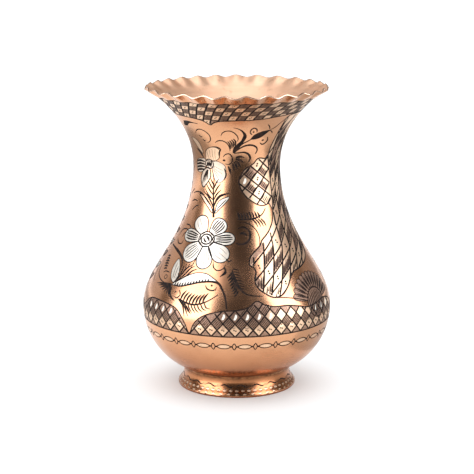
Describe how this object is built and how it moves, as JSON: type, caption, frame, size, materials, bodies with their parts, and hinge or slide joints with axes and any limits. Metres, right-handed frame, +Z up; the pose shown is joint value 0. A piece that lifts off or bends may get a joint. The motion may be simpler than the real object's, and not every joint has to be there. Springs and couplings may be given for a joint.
{
  "type": "engraved vase",
  "caption": "Copper vase with a round body on a flared foot, a slender neck and a fluted trumpet lip, engraved with flowers, scrolls and lattice bands.",
  "frame": {"origin": "centre of the foot, on the surface the vase stands on", "axes": "+Z up along the vase's axis, from the foot to the lip; +X and +Y are level, and the front of the engraving faces -Y"},
  "size_m": [0.1382, 0.1382, 0.2217],
  "materials": {
    "copper": "satin, buffed by hand, with blackened engraved lines and bright-cut petals",
    "foot_copper": "polished",
    "braze": "dull, as brazed"
  },
  "bodies": {
    "root": {"upper_shell": "copper", "lower_bowl": "copper", "foot_ring": "foot_copper", "belly_braze": "braze", "foot_braze": "braze"}
  },
  "joints": []
}
